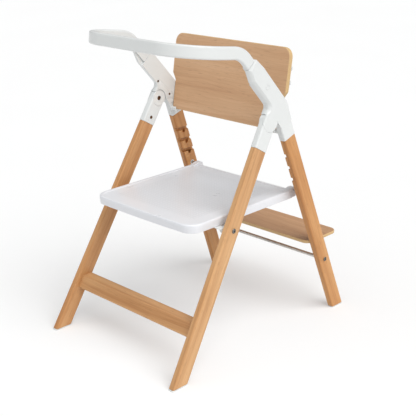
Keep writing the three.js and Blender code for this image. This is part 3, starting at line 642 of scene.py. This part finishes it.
def stretcher():
    """The cross bar between the front legs. Its ends follow the legs' inner faces."""
    low, high, edge, set_back, rear_rim = 109.5, 143.5, 4, 14, 1
    half = LEG_WIDTH / 2 / cos(FRONT_LEAN)
    front, rear = set_back / cos(FRONT_LEAN) - half, half - rear_rim

    def corner(z, y):
        return (leg_centre(True, z)[0] + y, z, edge)
    outline = rounded([corner(low, front), corner(low, rear), corner(high, rear), corner(high, front)], 6)

    def place(y, z, end):
        return (end * (leg_face(z) - LEG_THICK - GAP), y, z)
    return from_levels([(outline, -1 + k / 4) for k in range(9)], place)


piece("front_stretcher", stretcher(), beech(5, PALE_BEECH, "X"))


# ---------- Front sleeves ----------
def front_sleeve():
    """The plastic sleeve on a front leg: a tube along the leg that ends in the round pivot head."""
    outer, screw_below = PLATE_INNER - 0.8, 52
    tube = sleeve_tube(True, FRONT_SHOULDER, along_leg(PIVOT_Z, FRONT_LEAN))
    head = side_plate(circle(PIVOT, HEAD_RADIUS, 64), HEAD_INNER, outer, 1.2)
    screw = leg_centre(True, PIVOT_Z - screw_below)
    face = leg_face(screw[1]) - LEG_THICK
    return combine(tube, join=[head], soften=0.7, cut=[
        tenon_socket(True, FRONT_SHOULDER),
        cross_pin(PIVOT, TONGUE_RADIUS + GAP, outer, 260, 64),
        side_box(0, PIVOT_Z - 30, 100, PIVOT_Z + 40, 150, HEAD_INNER),
        cross_pin(PIVOT, PIVOT_BORE, 190, 240),
        cross_pin(PIVOT, 7, 190, HEAD_INNER + 4.3),
        cross_pin(screw, 2.8, 190, face + LEG_THICK - SLEEVE_WALL - 0.5),
        cross_pin(screw, 5, 190, face + 0.8)])


piece_pair("front_sleeve", front_sleeve(), WHITE, WHITE)


# ---------- Hubs ----------
ARM = {"front": 25.3, "rear": 77.6, "kink": 129, "shoulder": 128, "end": 163.5,
       "end_front": 37, "end_rear": 73}
HUB_REAR_Z, RAIL_ACROSS = 600, 54.5
RAIL_TONGUE = {"low": 118, "inner": 205, "outer": 209.1}
RAIL_PLUG = {"low": 70, "thick": 10, "high": 27, "in_rail": 22}
ARM_DIRECTION = Vector((-sin(ARM_TILT), cos(ARM_TILT)))
ARM_ACROSS = Vector((cos(ARM_TILT), sin(ARM_TILT)))
FRONT_DIRECTION = Vector((sin(FRONT_LEAN), cos(FRONT_LEAN)))
REAR_DIRECTION = Vector((-sin(REAR_LEAN), cos(REAR_LEAN)))


def on_arm(along, across):
    return Vector(PIVOT) + along * ARM_DIRECTION + across * ARM_ACROSS


BUTTON = on_arm(79, 52)
BUTTON_RADIUS, BUTTON_FLANGE, BUTTON_WALL = 6.5, 8.1, 3.2


def crossing(start, direction, other, other_direction):
    """Where two lines meet."""
    gap = other - start
    return start + direction * (gap.cross(other_direction) / direction.cross(other_direction))


def hub_points():
    """The corners (y, z) of the hub's outline, which follow the two legs and the arm."""
    tip_above, crotch_below, head_room = 11.5, 18, 1.2
    centre = Vector(PIVOT)
    across_front = Vector((cos(FRONT_LEAN), -sin(FRONT_LEAN)))
    across_rear = Vector((cos(REAR_LEAN), sin(REAR_LEAN)))
    rear_centre = Vector(leg_centre(False, HUB_REAR_Z))
    front_edge = centre - HEAD_RADIUS * across_front
    rear_outer = rear_centre + HEAD_RADIUS * across_rear
    clear = centre + (HEAD_RADIUS + head_room) * across_rear
    return {
        "centre": centre,
        "tip": front_edge + tip_above * FRONT_DIRECTION,
        "clear": clear,
        "crotch": clear - crotch_below * REAR_DIRECTION,
        "rear_inner": rear_centre - HEAD_RADIUS * across_rear,
        "rear_outer": rear_outer,
        "heel": crossing(rear_outer, REAR_DIRECTION, on_arm(0, ARM["rear"]), ARM_DIRECTION),
        "throat": crossing(front_edge, FRONT_DIRECTION, on_arm(0, ARM["front"]), ARM_DIRECTION),
    }


HUB = hub_points()


def chamfer(point, deep, edge, plain):
    """How far in a level is here: deep along the arm's front, edge at the tip and plain elsewhere."""
    if (Vector(point) - HUB["tip"]).length < 1:
        return edge
    away = Vector(point) - Vector(PIVOT)
    across, along = away.dot(ARM_ACROSS), away.dot(ARM_DIRECTION)
    arm_from, throat_from = 24, 5
    on_arm_front = across < ARM["end_front"] + 1 and along > arm_from
    in_throat = point[1] > PIVOT_Z and along > throat_from and across < ARM["front"]
    return deep if on_arm_front or in_throat else plain


def hub_shell():
    """The hub's outer shell: a plate from the rear leg to the rail, with a broad chamfer down its front."""
    rear_radius = 24
    outline = rounded([
        HUB["tip"], HUB["centre"], HUB["clear"], HUB["crotch"], HUB["rear_inner"], HUB["rear_outer"],
        (*HUB["heel"], rear_radius), (*on_arm(ARM["shoulder"], ARM["rear"]), rear_radius),
        on_arm(ARM["end"], ARM["end_rear"]),
        on_arm(ARM["end"], ARM["end_front"]), (*on_arm(ARM["kink"], ARM["front"]), 12),
        (*HUB["throat"], 14)], 8)
    levels = [(inset(outline, 1.6), HUB_INNER), (inset(outline, 0.45), HUB_INNER + 0.5),
              (outline, HUB_INNER + 1.6)]
    for depth, *amounts in ((9.5, 0, 0, 0), (5, 2.6, 0, 0), (1.6, 6.6, 1.3, 0), (0.5, 8.2, 2.8, 0.5),
                            (0, 9.2, LEG_EDGE, 1.6)):
        levels.append((inset(outline, [chamfer(p, *amounts) for p in outline]), HUB_OUTER - depth))
    body = from_levels(levels, side_view)
    tongue = from_levels(tongue_levels(), side_view)
    sleeve = sleeve_tube(False, REAR_SHOULDER, REAR_SHOULDER + REAR_SLEEVE)
    above = ARM["end"] + 5
    return combine(body, join=[tongue, sleeve, panel_shoe()], soften=0.6, cut=[
        tenon_socket(False, REAR_SHOULDER),
        cross_pin(PIVOT, HEAD_RADIUS + 0.8, 150, PLATE_INNER, 64),
        side_plate(cover_outline(), 180, HUB_INNER + COVER_THICK + GAP),
        plug_space(RAIL_PLUG["low"], above),
        arm_block(180, RAIL_TONGUE["outer"] + GAP, RAIL_TONGUE["low"] - GAP, above, 40),
        cross_pin(PIVOT, PIVOT_BORE, 200, HUB_OUTER - 2.2),
        cross_pin(BUTTON, BUTTON_RADIUS + GAP, 215, 240, 40),
        cross_pin(BUTTON, BUTTON_FLANGE + GAP, 215, HUB_OUTER - BUTTON_WALL, 40)])


def tongue_levels():
    """The round lower end of the hub's outer wall. Its front edge continues the front sleeve's."""
    edge_steps, steps, last = 6, 48, radians(150)
    across = Vector((FRONT_DIRECTION.y, -FRONT_DIRECTION.x))
    top = Vector(PIVOT) + 12 * FRONT_DIRECTION
    levels = []
    for k in range(-1, edge_steps + 1):
        turn = max(k, 0) * pi / 2 / edge_steps
        front = HEAD_RADIUS - LEG_EDGE * (1 - cos(turn))
        radius = TONGUE_RADIUS - (0.5 if k == edge_steps else 0)
        first = -asin(front / radius)
        arc = [first + (last - first) * step / steps for step in range(steps + 1)]
        outline = [Vector(PIVOT) + radius * (sin(a) * across - cos(a) * FRONT_DIRECTION) for a in arc]
        outline += [top + 7 * across, top - front * across]
        level = PLATE_INNER if k < 0 else HUB_OUTER - LEG_EDGE * (1 - sin(turn))
        levels.append(([tuple(point) for point in outline], level))
    return levels


def arm_block(x0, x1, low, high, half_height, edge=0.0):
    """A block in line with the hub's arm, on the rail's centre line, between two distances along it."""
    corners = [on_arm(low, RAIL_ACROSS - half_height), on_arm(high, RAIL_ACROSS - half_height),
               on_arm(high, RAIL_ACROSS + half_height), on_arm(low, RAIL_ACROSS + half_height)]
    return side_plate([tuple(corner) for corner in corners], x0, x1, edge)


def plug_space(low, high):
    """Room for the rail's plug."""
    half = RAIL_PLUG["thick"] / 2 + GAP
    return arm_block(RAIL_X - half, RAIL_X + half, low, high, RAIL_PLUG["high"] / 2 + GAP)


def cover_outline():
    """The recess for the hub's inner cover, a rim inside the hub's own outline."""
    rim, rear_y, rear_low, rear_high = 2.2, 108, 607, 618
    inwards = Vector((rim, 0))
    return rounded([
        (rear_y, rear_high, 2), (51, 675, 2), (*on_arm(46, ARM["front"] + rim), 2),
        (*(HUB["throat"] + inwards), 4), HUB["tip"] + inwards, HUB["centre"],
        HUB["clear"] + inwards, HUB["crotch"] + rim * Vector((1, 0.6)), (rear_y, rear_low, 1)], 4)


def panel_shoe():
    """The channel on the hub's inner side that carries a lower corner of the backrest."""
    wall, floor, front_top, rear_top, inner_end = 4, 6, 2, 20, 188
    outer = rounded([(-wall, -floor, 5), (PANEL_THICK + wall, -floor, 5), (PANEL_THICK + wall, rear_top, 2),
                     (PANEL_THICK, rear_top), (-wall, front_top, 2)], 6)
    room = side_box(-GAP, -GAP, PANEL_THICK + GAP, 60, 150, HUB_INNER)
    return transformed(combine(side_plate(outer, inner_end, HUB_INNER + wall), cut=[room]), PANEL_FRAME)


piece_pair("hub_shell", hub_shell(), WHITE, WHITE)


def release_button():
    """The catch that frees the rail: a round cap with a shallow thumb dish, held by a flange."""
    wall = HUB_OUTER - BUTTON_WALL
    top = HUB_OUTER + 0.5
    profile = [(0, top - 0.9), (2.2, top - 0.8), (4.0, top - 0.4), (5.2, top), (6.0, top - 0.1),
               (BUTTON_RADIUS, top - 0.6), (BUTTON_RADIUS, wall - GAP), (BUTTON_FLANGE, wall - GAP),
               (BUTTON_FLANGE, wall - 1.8), (0, wall - 1.8)]
    return lathe_x(profile, BUTTON, 40)


piece_pair("release_button", release_button(), WHITE, WHITE)


# ---------- Guard rail ----------
def rail_path():
    """Points, directions and height directions along the rail, from the left hub round to the right."""
    sideways = Vector((1, 0, 0))
    arm = Vector((0, *ARM_DIRECTION))
    slope = Vector((0, cos(RAIL_SLOPE), -sin(RAIL_SLOPE)))
    lift = Vector((0, sin(RAIL_SLOPE), cos(RAIL_SLOPE)))
    start = Vector((0, *on_arm(0, RAIL_ACROSS)))
    front = Vector((0, RAIL_FRONT_Y, RAIL_FRONT_Z))
    bend = pi / 2 - ARM_TILT - RAIL_SLOPE
    knee = Vector((0, *crossing(front.yz, slope.yz, start.yz, arm.yz)))
    end = start + arm * (ARM["end"] + GAP)
    turn_in = knee - arm * RAIL_KNEE * tan(bend / 2)
    half = []

    def add(point, x, along, height):
        half.append((point + x * sideways, along, height))
    for k in range(4):
        add(end.lerp(turn_in, k / 4), RAIL_X, arm, arm.cross(sideways))
    centre = turn_in + Vector((0, -arm.z, arm.y)) * RAIL_KNEE
    bend_steps, corner_steps = 12, 20
    for k in range(bend_steps + 1):
        spin = Matrix.Rotation(bend * k / bend_steps, 3, "X")
        along = spin @ arm
        add(centre + spin @ (turn_in - centre), RAIL_X, along, along.cross(sideways))
    bend_end = half[-1][0] - RAIL_X * sideways
    side_end = front + slope * RAIL_CORNER
    for k in range(1, 6):
        add(bend_end.lerp(side_end, k / 6), RAIL_X, -slope, lift)
    for k in range(corner_steps + 1):
        angle = pi / 2 * k / corner_steps
        back = RAIL_CORNER * (1 - sin(angle))
        x = RAIL_X - RAIL_CORNER * (1 - cos(angle))
        add(front + slope * back, x, -slope * cos(angle) - sin(angle) * sideways, lift)
    flip = Vector((-1, 1, 1))
    other = [(point * flip, -(along * flip), height * flip) for point, along, height in reversed(half)]
    return half + [(front, -sideways, lift)] + other


def guard_rail():
    """A bar swept along the path, its outer face slightly crowned and its ends' edges rounded."""
    crown, end_edge = 0.35, 0.4
    section = rectangle(RAIL_THICK, RAIL_HEIGHT, 4.6, 6)
    section = [(x - crown * (y / (RAIL_HEIGHT / 2)) ** 2 if x > 0 else x, y) for x, y in section]
    end_section = inset(section, end_edge)
    path = rail_path()
    (first, first_along, first_height), (last, last_along, last_height) = path[0], path[-1]
    bm = bmesh.new()

    def ring(point, along, height, around=section):
        out = height.cross(along).normalized()
        return [bm.verts.new(point + out * a + height * b) for a, b in around]
    rings = [ring(*path[0], end_section), ring(first + first_along * end_edge, first_along, first_height)]
    rings += [ring(*step) for step in path[1:-1]]
    rings += [ring(last - last_along * end_edge, last_along, last_height), ring(*path[-1], end_section)]
    return skinned(bm, rings)


rail_pocket = plug_space(ARM["end"] - 5, ARM["end"] + RAIL_PLUG["in_rail"] + GAP)
rail_tongue = arm_block(RAIL_TONGUE["inner"], RAIL_TONGUE["outer"], RAIL_TONGUE["low"], ARM["end"] + 6,
                        RAIL_HEIGHT / 2 - 0.2, 0.6)
piece("guard_rail", combine(guard_rail(), join=[rail_tongue, mirrored(rail_tongue)],
                            cut=[rail_pocket, mirrored(rail_pocket)]), WHITE, smooth=50)


# ---------- Backrest and footplate ----------
def mark_rim(bm, normal_of_face):
    """Gives a plywood plate its second material, the plies, where the rim turns away from the face."""
    for face in bm.faces:
        face.material_index = 0 if abs(face.normal.dot(normal_of_face)) > 0.9 else 1
    return bm


def panel_view(a, b, level):
    return (a, level, b)


def backrest_panel():
    """The plywood panel in its own frame: narrower below, where it stands in the shoes."""
    lower, upper, low, high, corner = PANEL.values()
    outline = rounded([
        (-lower, 0, 8), (lower, 0, 8), (lower, low, 6), (upper, high, 6), (upper, PANEL_LENGTH, corner),
        (-upper, PANEL_LENGTH, corner), (-upper, high, 6), (-lower, low, 6)], 8)
    plate = from_levels(round_levels(outline, 0, PANEL_THICK, 2.0, 4), panel_view)
    return mark_rim(plate, Vector((0, 1, 0)))


piece("backrest_panel", backrest_panel(), wood("veneer_look_panel", *VENEER, "X", 3.1, 0.16, 0.18),
      ply_edge("ply_edge_look_panel", 1), matrix=PANEL_FRAME)


def footplate():
    """The plywood plate between the rear legs. Its sides run in the legs' grooves."""
    front, depth, corner = 214, 137, 24
    half = leg_face(FOOTPLATE_TOP) - LEG_THICK + FOOTPLATE_GROOVE - GAP
    outline = [(x, y + front + depth / 2) for x, y in rectangle(2 * half, depth, corner, 10)]
    plate = from_levels(round_levels(outline, FOOTPLATE_TOP - FOOTPLATE_THICK, FOOTPLATE_TOP, 1.8, 4),
                        upright_view)
    return mark_rim(plate, Vector((0, 0, 1)))


# The footplate's veneer tones are darkened as painted shade under the seat.
piece("footplate", footplate(), wood("veneer_look_footplate", *SHADED_FOOT_VENEER, "X", 8.3, 0.14, 0.18),
      ply_edge("ply_edge_look_footplate", 2))


# ---------- Seat ----------
def seat_outline(away):
    """The seat from above, moved in by some distance: round front corners and a bowed front edge."""
    bow, corner_radius, rear_radius, steps = 3, 38, 6, 12
    half_width, radius, back = SEAT_HALF_WIDTH - away, corner_radius - away, SEAT_REAR_Y - away
    middle = Vector((half_width - radius, SEAT_FRONT_Y + bow + corner_radius))
    corner = [(middle.x + radius * cos(pi / 2 * k / steps), middle.y - radius * sin(pi / 2 * k / steps))
              for k in range(steps + 1)]
    across = [middle.x * (1 - k / 8) for k in range(1, 16)]
    front = [(x, SEAT_FRONT_Y + away + bow * (x / middle.x) ** 2) for x in across]
    round_back = max(rear_radius - away, 0.8)
    rear = rounded([(-half_width, 0), (-half_width, back, round_back), (half_width, back, round_back),
                    (half_width, 0)], 5)
    return corner + front + [(-x, y) for x, y in reversed(corner)] + rear


def seat_ear(bottom):
    """The plate at the seat's rear corner that carries a rear pin."""
    y, z = SEAT_PIN
    outline = rounded([(y - 34, bottom + 2, 3), (y - 34, z + 1.5), (y - 10, z + 8.5, 10),
                       (y + 8.5, z + 8.5, 8), (y + 8.5, bottom + 1, 8)], 8)
    return side_plate(outline, 176, SEAT_HALF_WIDTH - 0.2, 2.4, 4)


def seat_shell():
    """A moulded plate with a rolled edge, a lip around its top and a hollow underside."""
    top, bottom = SEAT_TOP, SEAT_TOP - SEAT_DEPTH
    # From inside the hollow, out over the bottom edge, up the wall and in over the lip: (inset, z).
    profile = [
        (4.4, top - 5), (4.2, bottom + 0.3), (3.6, bottom), (1.6, bottom), (0.9, bottom + 0.5),
        (0.6, bottom + 1.4), (0.4, bottom + 11), (0, bottom + 11.8), (0, top - 4.6), (0.4, top - 2.6),
        (1.4, top - 1.1), (2.8, top - 0.25), (4.4, top), (9.5, top), (10.6, top - 0.4),
        (11.6, top - 1.5), (12.6, top - 1.9)]
    shell = from_levels([(seat_outline(away), level) for away, level in profile], upright_view)
    half, low, high = 1.2, bottom + 3, top - 4
    ribs = [side_box(-208, low, 172, high, x - half, x + half) for x in (-90, 0, 90)]
    ribs += [side_box(y - half, low, y + half, high, -190, 190) for y in (-60, 60)]
    holes = [cross_pin(SEAT_PIN, ROD_BORE, 180, 240), cross_pin(SEAT_PIN, ROD_BORE, -240, -180)]
    ear = seat_ear(bottom)
    return combine(shell, join=[ear, mirrored(ear)] + ribs, cut=holes, soften=0.5)


piece("seat_shell", seat_shell(), SEAT_WHITE)


# ---------- Fasteners ----------
def bolt(centre, inner_x, shank, head):
    """A button-head bolt along X with a hexagon socket."""
    face = leg_face(centre[1]) + 0.6
    profile = [(0, inner_x), (shank, inner_x), (shank, face), (head - 0.3, face), (head, face + 0.3),
               (head - 0.1, face + 1.0), (head * 0.86, face + 1.75), (head * 0.68, face + 2.2),
               (head * 0.6, face + 2.3), (0, face + 2.3)]
    body = lathe_x(profile, centre, 40)
    socket = cross_pin(centre, head * 0.46, face + 0.7, face + 5, 6)
    return combine(body, cut=[socket], soften=0.15)


piece_pair("seat_bolt", bolt(SEAT_AXIS, inner_x=194, shank=3.9, head=6.6), BOLT, BOLT)
rod_end, bolt_in_rod = leg_face(TIE_ROD_Z) - LEG_THICK - 0.9, 18
piece_pair("tie_rod_bolt", bolt(TIE_ROD, inner_x=rod_end - bolt_in_rod, shank=3.6, head=6.2), BOLT, BOLT)


def knob(height):
    """A round clamping knob with a ribbed grip and a domed top, on its shank."""
    radius, shank, grip, dome, sides, dome_steps = 8, 2.5, 3, 5, 48, 6
    profile = [(0, -11.5), (shank, -11.5), (shank, 0), (radius - 0.4, 0), (radius, 0.4), (radius, grip)]
    for k in range(1, dome_steps):
        angle = pi / 2 * k / dome_steps
        profile.append((radius * cos(angle), grip + dome * sin(angle)))
    bm = lathe_x(profile + [(0, grip + dome)], (0, 0), sides)
    for vert in bm.verts:
        on_grip = hypot(vert.co.y, vert.co.z) > 6.5 and 0.3 < vert.co.x < 5
        # Each fourth line of points lies a little deeper: a groove.
        if on_grip and round(atan2(vert.co.z, vert.co.y) / (2 * pi) * sides) % 4 == 0:
            vert.co.y *= 0.95
            vert.co.z *= 0.95
    seat_of_knob = (205.5, PANEL_THICK + 4.5 + 2 * GAP, height)
    place = Matrix.Translation(seat_of_knob) @ Matrix.Rotation(pi / 2, 4, "Z")
    return transformed(bm, PANEL_FRAME @ place)


piece_pair("backrest_knob_1", knob(130), WHITE, WHITE)
piece_pair("backrest_knob_2", knob(168), WHITE, WHITE)


# ---------- CAD nodes that keep their shape ----------
KEPT = (
    (WHITE, 0.4, ("hub_cover", "backrest_bracket", "seat_bracket", "seat_pin_bush")),
    (GLIDE, 0.3, ("front_glide", "rear_glide", "rail_plug")),
    (BRONZE, 0.2, ("fold_pivot", "front_sleeve_screw", "cover_screw_1", "cover_screw_2")),
    (STEEL, 0.2, ("seat_pin", "seat_nut")),
)
for material, edge, names in KEPT:
    for name in names:
        finish_node(f"{name}_left", material, edge)
        finish_node(f"{name}_right", material, edge)
finish_node("tie_rod", STEEL, 0.3)


# ---------- Floor and light ----------
def grey(value):
    return (value, value, value)


def make_floor():
    """A pale floor with a little light of its own, so that it looks white and its shadow stays soft."""
    half_size, glow = 35, 0.28
    g = Graph("floor_look")
    cloudy = g.noise(g.node("TexCoord")["Object"], scale=1.5)
    g.surface(Base_Color=g.ramp(cloudy, (0.3, grey(0.62)), (0.7, grey(0.625))),
              Roughness=g.remap(cloudy, 0.7, 0.85), Emission_Color=(1, 1, 1, 1), Emission_Strength=glow)
    bm = bmesh.new()
    bmesh.ops.create_grid(bm, x_segments=8, y_segments=8, size=half_size)
    mesh = bpy.data.meshes.new("floor")
    bm.to_mesh(mesh)
    bm.free()
    floor = bpy.data.objects.new("floor", mesh)
    mesh.materials.append(g.material)
    bpy.context.scene.collection.objects.link(floor)


def sun(name, towards, strength, spread, colour):
    """Soft light from far away, coming from a direction and spread over an angle in degrees."""
    data = bpy.data.lights.new(name, "SUN")
    data.energy = strength
    data.angle = radians(spread)
    data.color = colour
    light = bpy.data.objects.new(name, data)
    light.matrix_world = Vector(towards).to_track_quat("Z", "Y").to_matrix().to_4x4()
    bpy.context.scene.collection.objects.link(light)


def make_world(strength):
    world = bpy.data.worlds.new("studio")
    world.use_nodes = True
    background = world.node_tree.nodes["Background"]
    background.inputs["Color"].default_value = (1, 1, 1, 1)
    background.inputs["Strength"].default_value = strength
    bpy.context.scene.world = world


make_floor()
make_world(0.34)
sun("key", (0.62, 0.0, 0.785), 2.6, 55, (1.0, 0.998, 0.992))
sun("fill", (-0.1, -0.6, 0.79), 0.75, 70, (0.95, 0.985, 1.0))
bpy.context.scene.view_settings.view_transform = "Standard"
